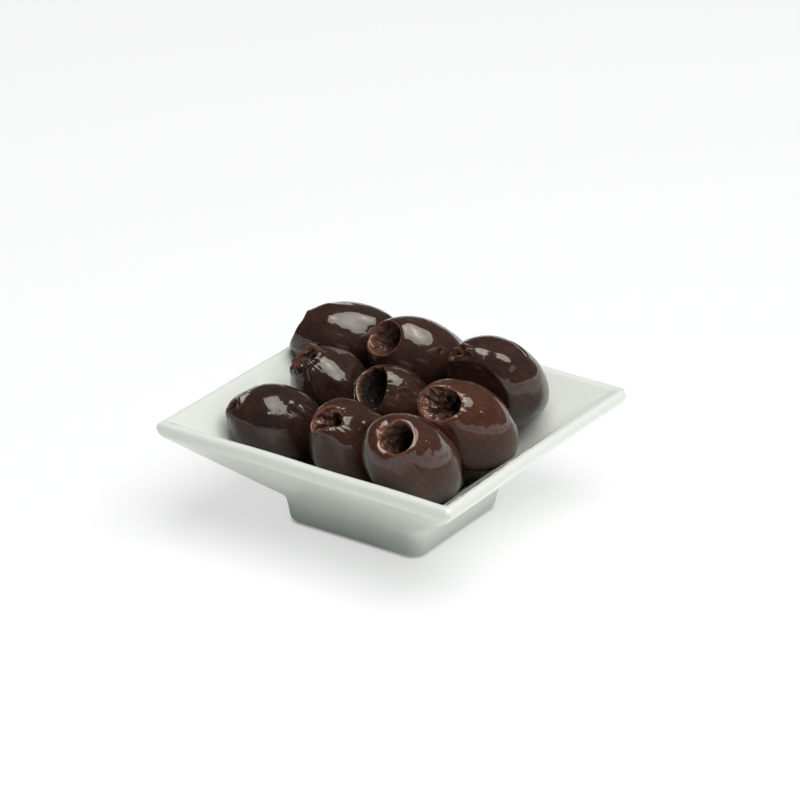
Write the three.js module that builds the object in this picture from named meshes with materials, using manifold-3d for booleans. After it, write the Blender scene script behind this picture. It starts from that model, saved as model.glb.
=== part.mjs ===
// A small square porcelain dip dish on a square foot, heaped with pitted dark olives.
// Millimetres, +Z up. The origin is the middle of the foot's underside, and the dish's
// sides lie along X and Y.

import * as THREE from "three";
import { mergeVertices } from "three/addons/utils/BufferGeometryUtils.js";
import Module from "manifold-3d";

const UP = new THREE.Vector3(0, 0, 1);

// ---------------------------------------------------------------- driving dimensions

// The dish, as half widths from its middle and heights above the table.
const DISH_HALF = 40.15; // the outside of the lip
const DISH_HEIGHT = 28; // the top of the lip
const LIP_FACE = 2.95; // height of the lip's outer face, nearly all of it rounded
const WALL = 3.6; // thickness of the sloping wall, square to it
const FOOT_HALF = 18.3; // the foot at the table, before its edge is rounded
const FOOT_TOP_HALF = 19.3; // the foot where it meets the wall
const FOOT_HEIGHT = 6.84;
const FOOT_RIM = 4.7; // width of the ring under the foot, with its rounded edge
const RECESS_DEPTH = 6; // the hollow under the foot
const RECESS_DRAFT = 1; // how much narrower the hollow is at its ceiling
const FLOOR_HEIGHT = 10.5; // the inside floor above the table

// Rounding in section, and corner radii seen from above.
const EDGE_ROUND = 0.6;
const LIP_UNDER_ROUND = 3.8;
const LIP_TOP_ROUND = 1.1;
const LIP_INNER_ROUND = 2.6;
const FOOT_ROUND = 1.8; // the outer edge that the dish stands on
const FOOT_FILLET = 4.5;
const FLOOR_FILLET = 7;
const LIP_CORNER = 1;
const LIP_INNER_CORNER = 1.2;
const FOOT_CORNER = 3.4;
const FLOOR_CORNER = 7;
const SIDE_BOW = 0.25; // how far the middle of each side is drawn in

// Facets.
const ARC_STEP = Math.PI / 15; // angle of one facet of a rounding in section
const CORNER_STEPS = 4; // facets round each corner of the dish
const SIDE_STEPS = 4; // facets along each straight side
const OLIVE_SIDES = 22; // facets round an olive
const OLIVE_RINGS = 11; // rings from an olive's far end to its mouth

// The heap.
const CONTACT_GAP = 0.3; // between the heap and the dish
const CUT_SOFTNESS = 0.9; // rounding where the mouth's flat cut meets the skin
const PIT_TAPER = 0.62; // width of the pit hole's inner end, as a share of its mouth
const LUMP = 0.015; // unevenness of an olive, as a share of its size

// Each olive: the middle of its body, the way its long axis points (degrees round from +X,
// and up from the horizontal), its width and length, and its mouth, where the pit came out.
// A mouth has its own direction, the width across it, its squash (1 is round), the turn of
// its long side, and how deep the pit hole goes. They lie in three rows of three, over three
// more of a lower layer.
const OLIVES = [
  // Back left.
  {
    at: [-26.3, 19.5, 31],
    axis: [218, 6],
    size: [18.4, 28.4],
    mouth: { toward: [198, 25], across: 8.4, squash: 1, turn: 0, depth: 10 },
  },
  // Back middle.
  {
    at: [-5.1, 18.9, 31.6],
    axis: [237, 33],
    size: [19.2, 30],
    mouth: { toward: [252, 41], across: 9.8, squash: 1, turn: 0, depth: 13 },
  },
  // Back right, its mouth puckered.
  {
    at: [15.7, 19.9, 31],
    axis: [237, 40],
    size: [20.2, 28.2],
    mouth: { toward: [247, 43], across: 7, squash: 0.4, turn: 30, depth: 7 },
  },
  // Middle left, its mouth torn.
  {
    at: [-19.5, 3.5, 25.7],
    axis: [237, 51],
    size: [18.2, 25.4],
    mouth: { toward: [256, 44], across: 9, squash: 0.8, turn: 60, depth: 8 },
  },
  // Centre.
  {
    at: [-0.4, 0.7, 27.8],
    axis: [248, 41],
    size: [17.4, 24.6],
    mouth: { toward: [254, 36], across: 10, squash: 0.9, turn: 90, depth: 12 },
  },
  // Middle right.
  {
    at: [20, -0.5, 28.5],
    axis: [242, 39],
    size: [19.5, 29.8],
    mouth: { toward: [272, 41], across: 9.2, squash: 0.9, turn: 0, depth: 12 },
  },
  // Front left, its mouth a slit.
  {
    at: [-20.9, -18.5, 24.9],
    axis: [217, 18],
    size: [18, 24],
    mouth: { toward: [232, 29], across: 5, squash: 0.4, turn: 80, depth: 4 },
  },
  // Front middle.
  {
    at: [0.2, -18, 24],
    axis: [247, 54],
    size: [19.2, 27.6],
    mouth: { toward: [256, 48], across: 8.2, squash: 0.9, turn: 0, depth: 12 },
  },
  // Front right.
  {
    at: [19.5, -23.2, 27.9],
    axis: [257, 44],
    size: [19.9, 31],
    mouth: { toward: [286, 47], across: 9.4, squash: 0.95, turn: 0, depth: 13 },
  },
  // Below the back row, on the left.
  {
    at: [-8.8, 14.6, 18.1],
    axis: [141, -8],
    size: [14.6, 21],
    mouth: { toward: [141, -8], across: 5, squash: 1, turn: 0, depth: 4 },
  },
  // Below the back row, on the right.
  {
    at: [8.8, 13.7, 18.1],
    axis: [136, 2],
    size: [14.6, 21],
    mouth: { toward: [136, 2], across: 5, squash: 1, turn: 0, depth: 4 },
  },
  // Below the right side.
  {
    at: [16.5, -10, 17.2],
    axis: [80, 0],
    size: [13, 20],
    mouth: { toward: [80, 0], across: 4.5, squash: 1, turn: 0, depth: 4 },
  },
];

// What the middle of the heap amounts to, as an ellipsoid: its middle and half sizes.
const CORE_AT = [-1, -2, 18];
const CORE_HALVES = [21, 18, 7.4];
const CORE_SIDES = 20;
const CORE_RINGS = 10;

// ---------------------------------------------------------------- colours and finishes

const PORCELAIN = { color: 0xe9ebe4, roughness: 0.12, metalness: 0 };
const OLIVE_SKIN = { color: 0x3a1d17, roughness: 0.22, metalness: 0 };

// ---------------------------------------------------------------- surfaces of rings

// A closed body from rings of equal length, listed from its first pole to its last. A pole
// is a ring of one point. Each ring runs anticlockwise round the way from first to last.
function skinOverRings(rings) {
  const positions = rings.flat().flatMap((point) => point.toArray());
  const triangles = [];
  let start = 0;
  for (let i = 0; i + 1 < rings.length; i += 1) {
    const here = rings[i];
    const next = rings[i + 1];
    const nextStart = start + here.length;
    const sides = Math.max(here.length, next.length);
    for (let j = 0; j < sides; j += 1) {
      const k = (j + 1) % sides;
      if (here.length > 1) {
        triangles.push(start + j, start + k, nextStart + (next.length > 1 ? k : 0));
      }
      if (next.length > 1) {
        triangles.push(start + (here.length > 1 ? j : 0), nextStart + k, nextStart + j);
      }
    }
    start = nextStart;
  }
  const geometry = new THREE.BufferGeometry();
  geometry.setAttribute("position", new THREE.Float32BufferAttribute(positions, 3));
  geometry.setIndex(triangles);
  return geometry;
}

// ---------------------------------------------------------------- the dish

// A profile with each corner rounded. A corner has half, z, round (its radius in section)
// and plan (the corner radius seen from above, carried evenly along the profile).
function roundedProfile(corners) {
  const profile = [corners[0]];
  for (let i = 1; i + 1 < corners.length; i += 1) {
    const corner = corners[i];
    const at = new THREE.Vector2(corner.half, corner.z);
    const before = new THREE.Vector2(corners[i - 1].half, corners[i - 1].z).sub(at).normalize();
    const after = new THREE.Vector2(corners[i + 1].half, corners[i + 1].z).sub(at).normalize();
    const opening = Math.acos(THREE.MathUtils.clamp(before.dot(after), -1, 1));
    const reach = corner.round / Math.tan(opening / 2);
    const centre = before.clone().add(after).normalize();
    centre.multiplyScalar(corner.round / Math.sin(opening / 2)).add(at);
    const from = at.clone().addScaledVector(before, reach).sub(centre);
    const to = at.clone().addScaledVector(after, reach).sub(centre);
    const sweep = Math.atan2(from.cross(to), from.dot(to));
    const steps = Math.max(1, Math.round(Math.abs(sweep) / ARC_STEP));
    for (let step = 0; step <= steps; step += 1) {
      const point = from.clone().rotateAround(new THREE.Vector2(), (sweep * step) / steps);
      point.add(centre);
      profile.push({ half: point.x, z: point.y, plan: corner.plan });
    }
  }
  profile.push(corners[corners.length - 1]);
  return profile;
}

// The profile carried round as a square with rounded corners and slightly drawn-in sides.
function squareRing({ half, z, plan }) {
  if (half === 0) {
    return [new THREE.Vector3(0, 0, z)];
  }
  const radius = Math.min(plan, half);
  const straight = half - radius;
  const ring = [];
  for (let side = 0; side < 4; side += 1) {
    const turn = (side * Math.PI) / 2;
    for (let step = 1; step < SIDE_STEPS; step += 1) {
      const along = (2 * step) / SIDE_STEPS - 1;
      const bow = SIDE_BOW * (half / DISH_HALF) * (1 - along * along);
      ring.push(new THREE.Vector3(half - bow, along * straight, z).applyAxisAngle(UP, turn));
    }
    for (let step = 0; step <= CORNER_STEPS; step += 1) {
      const angle = (step / CORNER_STEPS) * (Math.PI / 2);
      const x = straight + radius * Math.cos(angle);
      const y = straight + radius * Math.sin(angle);
      ring.push(new THREE.Vector3(x, y, z).applyAxisAngle(UP, turn));
    }
  }
  return ring;
}

// The slope of the wall, the same inside and out, and where its inner face meets the heights
// of the lip and of the floor.
function wallSlope() {
  return Math.atan2(DISH_HEIGHT - LIP_FACE - FOOT_HEIGHT, DISH_HALF - FOOT_TOP_HALF);
}

function innerHalfAt(z) {
  const slope = wallSlope();
  const outerHalf = DISH_HALF - (DISH_HEIGHT - LIP_FACE - z) / Math.tan(slope);
  return outerHalf - WALL / Math.sin(slope);
}

function dishGeometry() {
  const recessHalf = FOOT_HALF - FOOT_RIM;
  const profile = roundedProfile([
    { half: 0, z: RECESS_DEPTH },
    { half: recessHalf - RECESS_DRAFT, z: RECESS_DEPTH, round: 1.5, plan: FOOT_CORNER },
    { half: recessHalf, z: 0, round: EDGE_ROUND, plan: FOOT_CORNER },
    { half: FOOT_HALF, z: 0, round: FOOT_ROUND, plan: FOOT_CORNER },
    { half: FOOT_TOP_HALF, z: FOOT_HEIGHT, round: FOOT_FILLET, plan: FOOT_CORNER },
    { half: DISH_HALF, z: DISH_HEIGHT - LIP_FACE, round: LIP_UNDER_ROUND, plan: LIP_CORNER },
    { half: DISH_HALF, z: DISH_HEIGHT, round: LIP_TOP_ROUND, plan: LIP_CORNER },
    { half: innerHalfAt(DISH_HEIGHT), z: DISH_HEIGHT, round: LIP_INNER_ROUND, plan: LIP_INNER_CORNER },
    { half: innerHalfAt(FLOOR_HEIGHT), z: FLOOR_HEIGHT, round: FLOOR_FILLET, plan: FLOOR_CORNER },
    { half: 0, z: FLOOR_HEIGHT },
  ]);
  return skinOverRings(profile.map(squareRing));
}

// ---------------------------------------------------------------- the olives

function directionOf([around, above]) {
  const azimuth = THREE.MathUtils.degToRad(around);
  const tilt = THREE.MathUtils.degToRad(above);
  return new THREE.Vector3(
    Math.cos(tilt) * Math.cos(azimuth),
    Math.cos(tilt) * Math.sin(azimuth),
    Math.sin(tilt),
  );
}

// Two directions square to an axis and to each other, so that first, second, axis is
// right-handed.
function crossAxes(axis) {
  const first = new THREE.Vector3().crossVectors(UP, axis).normalize();
  const second = new THREE.Vector3().crossVectors(axis, first);
  return [first, second];
}

// The lesser of two lengths, with the change from one to the other rounded over `soft`.
function softMin(a, b, soft) {
  const blend = THREE.MathUtils.clamp(0.5 + (b - a) / (2 * soft), 0, 1);
  return b + (a - b) * blend - soft * blend * (1 - blend);
}

// How far the skin lies from the olive's middle in one direction: an ellipsoid about its
// long axis, a little lumpy, cut flat at the mouth.
function skinDistance(olive, outward) {
  const alongAxis = outward.dot(olive.axis);
  const acrossAxis = Math.sqrt(Math.max(0, 1 - alongAxis * alongAxis));
  const ellipsoid = 1 / Math.hypot(alongAxis / olive.halfLength, acrossAxis / olive.halfWidth);
  const lumps = Math.sin(3 * outward.x + olive.seed) * Math.cos(3 * outward.y - olive.seed);
  const skin = ellipsoid * (1 + LUMP * lumps);
  const towardMouth = outward.dot(olive.mouth);
  if (towardMouth < 0.5) {
    return skin;
  }
  return softMin(skin, olive.mouthDistance / towardMouth, CUT_SOFTNESS);
}

// The mouth's half width at an angle round it: an ellipse, squashed and turned.
function mouthRadius(olive, angle) {
  const turned = angle - olive.turn;
  return olive.mouthHalf / Math.hypot(Math.cos(turned), Math.sin(turned) / olive.squash);
}

// An olive with its worked-out sizes.
function preparedOlive(olive, index) {
  const halfWidth = olive.size[0] / 2;
  const halfLength = olive.size[1] / 2;
  const axis = directionOf(olive.axis);
  const mouth = directionOf(olive.mouth.toward);
  const mouthHalf = olive.mouth.across / 2;
  const lean = axis.dot(mouth);
  const reach = Math.sqrt(halfWidth ** 2 + (halfLength ** 2 - halfWidth ** 2) * lean ** 2);
  const cutShare = (mouthHalf + CUT_SOFTNESS) / halfWidth;
  return {
    middle: new THREE.Vector3(...olive.at),
    axis,
    mouth,
    halfWidth,
    halfLength,
    mouthHalf,
    mouthDistance: reach * Math.sqrt(1 - cutShare ** 2),
    squash: olive.mouth.squash,
    turn: THREE.MathUtils.degToRad(olive.mouth.turn),
    depth: olive.mouth.depth,
    seed: 1.7 * index,
  };
}

// Rings from the olive's far end over its skin to the mouth, and down the pit hole.
function oliveRings(olive) {
  const [first, second] = crossAxes(olive.mouth);
  const around = (angle) =>
    first.clone().multiplyScalar(Math.cos(angle)).addScaledVector(second, Math.sin(angle));
  const angles = Array.from({ length: OLIVE_SIDES }, (_, j) => (2 * Math.PI * j) / OLIVE_SIDES);
  const onSkin = (fromMouth, angle) => {
    const outward = olive.mouth.clone().multiplyScalar(Math.cos(fromMouth));
    outward.addScaledVector(around(angle), Math.sin(fromMouth));
    return outward.clone().multiplyScalar(skinDistance(olive, outward)).add(olive.middle);
  };
  const inHole = (depth, share) =>
    angles.map((angle) =>
      olive.middle
        .clone()
        .addScaledVector(olive.mouth, olive.mouthDistance - depth)
        .addScaledVector(around(angle), mouthRadius(olive, angle) * share),
    );
  const rings = [[onSkin(Math.PI, 0)]];
  for (let i = 1; i <= OLIVE_RINGS; i += 1) {
    rings.push(
      angles.map((angle) => {
        const rim = Math.atan2(mouthRadius(olive, angle), olive.mouthDistance);
        return onSkin(Math.PI + ((rim - Math.PI) * i) / OLIVE_RINGS, angle);
      }),
    );
  }
  rings.push(inHole(olive.depth * 0.15, 0.86));
  rings.push(inHole(olive.depth * 0.85, PIT_TAPER));
  rings.push([olive.middle.clone().addScaledVector(olive.mouth, olive.mouthDistance - olive.depth)]);
  return rings;
}

// Soft fruit flattens where it lies on the porcelain: a point past the dish's inner face,
// less the gap, is brought back square to that face. The sides are drawn in a little at
// their middles, and the heap stays clear of that too.
function pressIntoDish(point) {
  const slope = wallSlope();
  const wallTop = innerHalfAt(DISH_HEIGHT);
  for (const [x, y] of [[1, 0], [-1, 0], [0, 1], [0, -1]]) {
    const inward = new THREE.Vector3(-x * Math.sin(slope), -y * Math.sin(slope), Math.cos(slope));
    const onWall = new THREE.Vector3(x * wallTop, y * wallTop, DISH_HEIGHT);
    const clearance = inward.dot(point.clone().sub(onWall)) - CONTACT_GAP - SIDE_BOW;
    if (clearance < 0) {
      point.addScaledVector(inward, -clearance);
    }
  }
  point.z = Math.max(point.z, FLOOR_HEIGHT + CONTACT_GAP);
  return point;
}

function coreRings() {
  const point = (fromBottom, angle) =>
    new THREE.Vector3(
      CORE_AT[0] + CORE_HALVES[0] * Math.sin(fromBottom) * Math.cos(angle),
      CORE_AT[1] + CORE_HALVES[1] * Math.sin(fromBottom) * Math.sin(angle),
      CORE_AT[2] - CORE_HALVES[2] * Math.cos(fromBottom),
    );
  const angles = Array.from({ length: CORE_SIDES }, (_, j) => (2 * Math.PI * j) / CORE_SIDES);
  const rings = [[point(0, 0)]];
  for (let i = 1; i < CORE_RINGS; i += 1) {
    rings.push(angles.map((angle) => point((Math.PI * i) / CORE_RINGS, angle)));
  }
  rings.push([point(Math.PI, 0)]);
  return rings;
}

// ---------------------------------------------------------------- joining

const manifold = await Module();
manifold.setup();

function toSolid(geometry) {
  const bare = geometry.clone();
  bare.deleteAttribute("normal");
  bare.deleteAttribute("uv");
  const merged = mergeVertices(bare);
  return new manifold.Manifold(
    new manifold.Mesh({
      numProp: 3,
      vertProperties: new Float32Array(merged.attributes.position.array),
      triVerts: new Uint32Array(merged.index.array),
    }),
  );
}

function toGeometry(solid) {
  const mesh = solid.getMesh();
  const geometry = new THREE.BufferGeometry();
  geometry.setAttribute("position", new THREE.Float32BufferAttribute(mesh.vertProperties, 3));
  geometry.setIndex(Array.from(mesh.triVerts));
  return geometry;
}

// The heap is one body: the core with every olive fused on.
function heapGeometry() {
  let heap = toSolid(skinOverRings(coreRings().map((ring) => ring.map(pressIntoDish))));
  OLIVES.map(preparedOlive).forEach((olive) => {
    heap = heap.add(toSolid(skinOverRings(oliveRings(olive).map((ring) => ring.map(pressIntoDish)))));
  });
  return toGeometry(heap);
}

// ---------------------------------------------------------------- the part

function namedMesh(name, geometry, finish) {
  const mesh = new THREE.Mesh(geometry, new THREE.MeshStandardMaterial(finish));
  mesh.name = name;
  return mesh;
}

const group = new THREE.Group();
group.add(namedMesh("dish", dishGeometry(), PORCELAIN));
group.add(namedMesh("olives", heapGeometry(), OLIVE_SKIN));

export default group;
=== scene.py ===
"""A small square porcelain dip dish on a square foot, heaped with pitted dark olives.

Sizes in the tables below are in millimetres and degrees, and Blender's are in metres. The
origin is the middle of the foot's underside, and the dish's sides lie along X and Y.
"""

import math

import bpy
import numpy as np
from bpy.props import FloatProperty, FloatVectorProperty, IntProperty, PointerProperty
from mathutils import Matrix, Vector


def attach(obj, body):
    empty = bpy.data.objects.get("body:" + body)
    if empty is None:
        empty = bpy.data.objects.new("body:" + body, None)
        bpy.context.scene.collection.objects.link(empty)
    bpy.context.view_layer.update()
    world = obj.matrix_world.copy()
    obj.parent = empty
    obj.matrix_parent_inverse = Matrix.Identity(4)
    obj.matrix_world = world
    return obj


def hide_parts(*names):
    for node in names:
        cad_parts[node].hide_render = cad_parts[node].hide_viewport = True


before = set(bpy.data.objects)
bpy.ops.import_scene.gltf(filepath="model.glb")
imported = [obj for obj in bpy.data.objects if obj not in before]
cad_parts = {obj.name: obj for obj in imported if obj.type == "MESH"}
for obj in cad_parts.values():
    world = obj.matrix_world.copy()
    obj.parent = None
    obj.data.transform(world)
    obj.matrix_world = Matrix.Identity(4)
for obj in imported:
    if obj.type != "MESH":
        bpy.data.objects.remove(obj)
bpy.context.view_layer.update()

bl_info = {
    "name": "Dish of Olives",
    "version": (1, 0, 0),
    "blender": (4, 5, 0),
    "location": "View3D > Sidebar > Olives",
    "description": "Builds a square porcelain dip dish heaped with pitted dark olives",
    "category": "Add Mesh",
}

MM = 0.001


# ------------------------------------------------------------------ the heap


def crease(width, depth, *line, fade=0):
    """A groove along a line of directions from the olive's middle, or a ridge where its depth
    is below nought. Its fade is how much shallower it is at its end, as a share."""
    return dict(width=width, depth=depth, line=line, fade=fade)


# Where each olive's middle lies, the way its long axis points (degrees round from +X, and up
# from the horizontal), its width and length, how red its skin is, and its mouth. A mouth has
# the way it faces, its width, its squash (1 is round) and the turn of its long side, the
# reach of its rolled edge and how far that edge stands up, how ragged it is, how lumpy and
# how folded the flesh is, how deep the pit hole goes, the way back out of it, and how much of
# its width is left at the inner end. A chord makes the mouth's outline straight on one side:
# the way to that side round the mouth, and how far out it lies. Painted shade darkens some
# mouths' flesh all over toward the pit hole's dark colour, by the share given.
# Some skins are also cut back, past a plane or past a trough along a line, to a share of
# their size and with a soft edge, and all have creases.
OLIVES = {
    "back_left": dict(
        at=(-26.3, 19.5, 31.0), axis=(218.5, 6.3), size=(18.4, 28.4), warmth=0.3,
        mouth=dict(
            toward=(199, 24), across=9.0, squash=1.0, turn=0, roll=0.5, lip=0.1, ragged=0.12,
            lumps=0.1, folds=0.05, depth=11, out=(206, 18), taper=0.7,
        ),
        creases=[
            crease(1.3, -0.44, (259, 43), (259, 49)),
            crease(1.2, 0.20, (228, 27), (298, 31)),
            crease(2.6, -0.81, (359, 45), (219, 64)),
            crease(4.1, 0.79, (358, 30), (188, 43)),
        ],
    ),
    "back_middle": dict(
        at=(-5.1, 18.9, 31.6), axis=(237.1, 32.7), size=(19.2, 30.0), warmth=0.42,
        mouth=dict(
            toward=(250.6, 41), across=9.9, squash=0.94, turn=0, roll=0.35, lip=0.12,
            ragged=0.1, lumps=0.12, folds=0.06, depth=17, out=(237, 33), taper=0.7, mouth_painted_shade=0.4,
        ),
        creases=[
            crease(2.0, 0.28, (325, 32), (333, 26)),
            crease(4.1, 0.80, (167, 40), (273, 41)),
            crease(1.7, -0.51, (15, -4), (261, 65)),
            crease(0.5, 0.16, (337, 33), (327, 20), (317, 5), fade=0.3),
        ],
    ),
    "back_right": dict(
        at=(15.7, 19.9, 31.0), axis=(237.1, 39.8), size=(20.2, 28.2), warmth=0.35,
        mouth=dict(
            toward=(243, 41), across=5.2, squash=0.4, turn=45, roll=0.7, lip=0.55, ragged=0.4,
            lumps=0.3, folds=0.1, depth=7, out=(240, 40), taper=0.5,
        ),
        cuts=[dict(toward=(280, -10), share=0.74, soft=0.3)],
        creases=[
            crease(1.8, -0.79, (262, 56), (321, 47)),
            crease(3.8, 0.50, (210, 41), (67, 47)),
            crease(1.9, 0.65, (278, 40), (278, 57)),
            crease(0.9, -0.29, (272, 31), (298, 50)),
            crease(1.9, -0.55, (255, 46), (273, 45), (292, 40), (312, 32), fade=0.8),
            crease(1.3, 0.4, (254, 44), (267, 40), (284, 30), (300, 16), fade=0.9),
            crease(1.2, 0.35, (250, 52), (262, 60), (280, 66), fade=0.8),
            crease(0.35, 0.1, (262, 52), (290, 55), (315, 49), fade=0.3),
            crease(0.7, 0.4, (50, 70), (26, 62), (20, 51), fade=0.5),
            crease(0.7, -0.7, (245, 38), (256, 47)),
        ],
    ),
    "middle_left": dict(
        at=(-19.5, 3.5, 25.7), axis=(236.8, 51.3), size=(18.1, 25.4), warmth=0.3,
        mouth=dict(
            toward=(240, 47), across=8.0, squash=0.4, turn=62, roll=0.6, lip=0.8, ragged=0.8,
            lumps=0.5, folds=0.15, depth=8, out=(240, 50), taper=0.4,
        ),
        cuts=[dict(toward=(322, 49), share=0.86, along=(244, 40), radius=7.5, soft=0.3)],
        creases=[
            crease(2.5, 0.44, (353, 41), (354, 59)),
            crease(2.7, -0.59, (282, 63), (314, 35)),
            crease(1.1, -0.37, (308, 36), (234, 42)),
            crease(1.6, -0.90, (235, 58), (249, 63)),
            crease(0.8, -0.4, (240, 62), (228, 78), (330, 82), fade=0.6),
            crease(0.6, 0.35, (252, 44), (262, 34), (268, 22), fade=0.6),
            crease(0.8, 0.6, (240, 44), (229, 36), (224, 24), fade=0.4),
        ],
    ),
    "centre": dict(
        at=(-0.4, 0.7, 27.8), axis=(248.2, 40.8), size=(17.4, 24.6), warmth=0.4,
        mouth=dict(
            toward=(270, 41), across=10.2, squash=0.72, turn=107, roll=0.2, lip=0.05,
            ragged=0.2, lumps=0.1, folds=0.05, depth=15, out=(248, 38), taper=0.8, mouth_painted_shade=1,
        ),
        creases=[
            crease(2.7, 0.52, (326, 33), (282, 42)),
            crease(3.5, -0.77, (264, 65), (202, -30)),
            crease(1.7, 0.19, (202, 78), (324, 46)),
            crease(2.1, -0.18, (309, 56), (329, 54)),
            crease(0.9, -0.11, (305, 46), (254, 18)),
        ],
    ),
    "middle_right": dict(
        at=(20.0, -0.5, 28.5), axis=(241.4, 39.1), size=(19.5, 29.8), warmth=1.05,
        mouth=dict(
            toward=(281, 42), across=8.9, squash=0.88, turn=24, roll=1.0, lip=0.1, ragged=0.25,
            lumps=0.34, folds=0.2, depth=16, out=(245, 39), taper=0.55, mouth_painted_shade=0.35,
        ),
        creases=[
            crease(2.7, 0.44, (260, 60), (304, 70)),
            crease(1.1, -0.22, (272, 73), (311, 53)),
            crease(0.4, -0.14, (327, 39), (328, 39)),
        ],
    ),
    "front_left": dict(
        at=(-20.9, -18.5, 24.9), axis=(217.3, 17.5), size=(18.0, 24.0), warmth=0.12,
        mouth=dict(
            toward=(230, 29), across=4.8, squash=0.42, turn=66, roll=0.4, lip=0.35, ragged=0.25,
            lumps=0.15, folds=0.05, depth=5, out=(225, 25), taper=0.5, mouth_painted_shade=0.6,
        ),
        creases=[
            crease(2.9, 0.47, (198, 47), (345, 3)),
            crease(2.2, 0.26, (316, 40), (298, 59)),
            crease(1.5, -0.84, (341, 52), (24, -13)),
            crease(1.6, 0.21, (345, 40), (24, -40)),
            crease(0.7, -0.12, (12, 52), (358, 40), (354, 22)),
            crease(1.3, -0.21, (316, 35), (318, 48)),
            crease(0.7, -0.8, (235, 33), (228, 40), (223, 48)),
            crease(0.4, -0.16, (286, 36), (287, 36)),
            crease(1.5, 0.13, (347, 40), (319, -15)),
        ],
    ),
    "front_middle": dict(
        at=(0.25, -18.0, 24.0), axis=(246.9, 54.1), size=(19.2, 27.6), warmth=0.5,
        mouth=dict(
            toward=(257, 43), across=8.2, squash=0.9, turn=53, roll=0.8, lip=0.1, ragged=0.3,
            lumps=0.34, folds=0.2, depth=14, out=(247, 52), taper=0.6, chord=(-53, 0.55),
        ),
        creases=[
            crease(3.6, 1.30, (272, 67), (278, 59)),
            crease(1.5, -1.30, (104, -30), (316, 53)),
            crease(1.9, -1.16, (14, 51), (263, 36)),
            crease(2.1, -0.10, (284, 58), (308, 65)),
        ],
    ),
    "front_right": dict(
        at=(19.5, -23.25, 27.9), axis=(256.9, 44.4), size=(19.9, 31.1), warmth=0.75,
        mouth=dict(
            toward=(299, 47), across=8.4, squash=0.9, turn=64, roll=0.7, lip=0.15, ragged=0.05,
            lumps=0.14, folds=0.07, depth=16, out=(262, 46), taper=0.7, mouth_painted_shade=0.5,
        ),
        creases=[
            crease(1.5, 1.5, (256, 58), (254, 48), (258, 38), (272, 31)),
            crease(2.6, -0.27, (293, 35), (55, 11)),
            crease(1.3, -0.20, (321, 42), (213, 33)),
            crease(5.0, 0.13, (23, 21), (340, -40)),
            crease(0.4, -0.15, (326, 47), (327, 47)),
            crease(2.7, -0.14, (303, 31), (305, 31)),
        ],
    ),
}


def lower_olive(at, axis, size, warmth):
    """A plain smaller olive of the lower layer, with a small round hole at its end."""
    mouth = dict(
        toward=axis, across=5.0, squash=1.0, turn=0, roll=0.5, lip=0.0, ragged=0.1, lumps=0.2,
        folds=0.05, depth=5, out=axis, taper=0.6,
    )
    return dict(at=at, axis=axis, size=size, warmth=warmth, mouth=mouth)


# These carry the back row and the right side, and only glimpses of them show.
LOWER_OLIVES = {
    "lower_left": lower_olive((-8.8, 14.6, 18.1), (141, -8), (14.6, 21.0), 0.2),
    "lower_right": lower_olive((8.8, 13.7, 18.1), (136, 2), (14.6, 21.0), 0.2),
    "lower_side": lower_olive((16.5, -10.0, 17.2), (80, 0), (13.0, 20.0), 0.3),
}

# What lies under the heap's middle, as an ellipsoid: its middle and half sizes.
CORE_AT = (-1.0, -2.0, 18.0)
CORE_HALVES = (21.0, 18.0, 7.4)

# The skin's relief: the height and the length of its waves, from broad to fine.
SKIN_WAVES = ((0.15, 17), (0.04, 6.5), (0.008, 2.4), (0.0015, 1.1))

# How far the raised lip of a mouth and its puckers reach over the skin, and how much of the
# rim's width the pit hole begins with.
LIP_REACH, PUCKER_REACH = 0.95, 1.1
THROAT = 0.96

# Rings over a mouth's rolled edge, and down its pit hole.
EDGE_RINGS, HOLE_RINGS = 13, 42

# What the skins' mesh carries for their finish: how far a point is flesh, cut edge, darkened
# by painted shade down in the pit hole, and red.
MARKS = ("flesh", "cut", "depth", "warmth")

# The way most olives lie, which the skin's faint grain follows.
GRAIN_WAY = (-0.383, -0.663, 0.643)

# The way to the softbox; the wall on its side of each pit hole faces away from it and gets
# its painted shade nearer to the rim.
LIT_FROM = np.array([0.34, 0.05, 0.94])

# The dish's smaller measures, in millimetres: the width of the ring it stands on, the depth
# of the recess inside it and how far its sides lean in, and how far each lip is drawn in.
RING_WIDTH, RECESS_DEPTH, RECESS_DRAFT, SIDE_BOW = 4.7, 6.0, 1.0, 0.25

# How far its inside walls lean out for each metre that they rise.
WALL_RUN = 1.1447

# How round its corners are when seen from above, and how round its section is at each turn.
CORNER = dict(foot=3.4, lip=1.0, inner_lip=1.2, floor=7.0)
TURN = dict(
    recess=1.5, ring_inside=0.6, ring_outside=1.8, foot_top=4.5, lip_foot=3.8, lip=1.1,
    inner_lip=2.6, floor=7.0,
)

# How round the lip's four corners are, as shares, anticlockwise from the one at +X +Y.
TIPS = (2.2, 1.0, 0.35, 1.0)

# The point that the camera circles, and how far right of it and above it the lens is aimed,
# in metres.
CAMERA_MIDDLE = (0, 0, 0.01263)
AIM_RIGHT, AIM_UP = 0.001387, 0.015146

# The softbox's width, in metres, its colour in reflections, and the discs that make it
# brighter toward its middle, by width and share of its brightness.
SOFTBOX_WIDTH = 0.98
REFLECTED_COLOUR = (1.0, 0.98, 0.88)
SOFTBOX_MIDDLE = ((0.78, 0.1), (0.6, 0.12), (0.45, 0.14), (0.31, 0.16), (0.2, 0.3), (0.09, 0.8))


# ------------------------------------------------------------------ settings


def length(name, description, default):
    """A length in metres that can be changed."""
    return FloatProperty(name=name, description=description, default=default, unit="LENGTH")


def colour(name, description, default):
    """A colour that can be changed."""
    return FloatVectorProperty(
        name=name, description=description, default=default, subtype="COLOR", min=0, max=1
    )


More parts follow.
